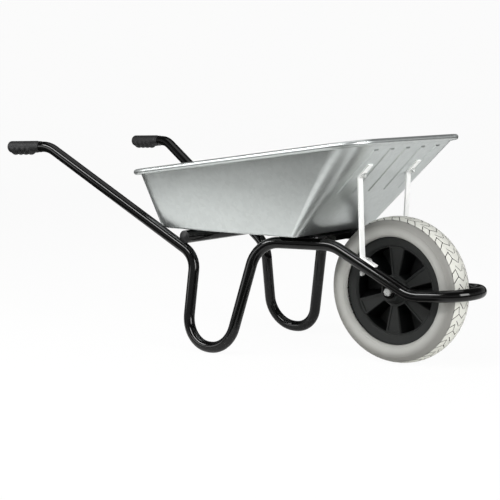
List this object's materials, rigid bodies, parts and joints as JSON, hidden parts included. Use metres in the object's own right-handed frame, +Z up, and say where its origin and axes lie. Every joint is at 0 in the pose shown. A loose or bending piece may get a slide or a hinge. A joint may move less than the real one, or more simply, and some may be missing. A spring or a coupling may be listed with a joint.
{
  "type": "wheelbarrow",
  "caption": "Single-wheel barrow: a bent tube frame with long handles carries a flared steel tray; the spoked wheel turns on a bolted axle inside a nose hoop.",
  "frame": {"origin": "on the ground, below the middle of the whole length and width", "axes": "+X forward to the wheel and nose hoop, +Y to the left as seen from the handles, +Z up"},
  "size_m": [1.5154, 0.5966, 0.6144],
  "materials": {
    "black_paint": "gloss",
    "galvanised_sheet": "galvanised",
    "zinc_steel": "zinc plated",
    "grip_rubber": "matte",
    "black_plug": "satin",
    "grey_tyre": "matte",
    "black_rim_plastic": "satin",
    "bush_plastic": "satin"
  },
  "bodies": {
    "frame": {"axle_bolt": "zinc_steel", "axle_nut": "zinc_steel", "axle_sleeve": "zinc_steel", "axle_washers": "zinc_steel", "cross_member_bolts": "black_paint", "cross_member_inserts": "zinc_steel", "crossbar_end_plugs": "black_plug", "frame_tube": "black_paint", "front_cross_member": "black_paint", "front_tray_bolts": "zinc_steel", "front_tray_nuts": "zinc_steel", "left_axle_bracket": "black_paint", "left_grip": "grip_rubber", "left_stay": "zinc_steel", "rear_crossbar": "black_paint", "rear_tray_bolts": "zinc_steel", "rear_tray_inserts": "zinc_steel", "right_axle_bracket": "black_paint", "right_grip": "grip_rubber", "right_stay": "zinc_steel", "stay_foot_bolts": "zinc_steel", "stay_foot_nuts": "zinc_steel", "stay_head_bolts": "zinc_steel", "stay_head_nuts": "zinc_steel", "tray": "galvanised_sheet"},
    "wheel": {"tyre": "grey_tyre", "rim": "black_rim_plastic", "right_bush": "bush_plastic", "left_bush": "bush_plastic"}
  },
  "joints": [
    {"name": "wheel_spin", "type": "hinge", "parent": "frame", "child": "wheel", "pos_m": [0.50575, 0, 0.2], "axis": [0, 1, 0], "continuous": true}
  ]
}
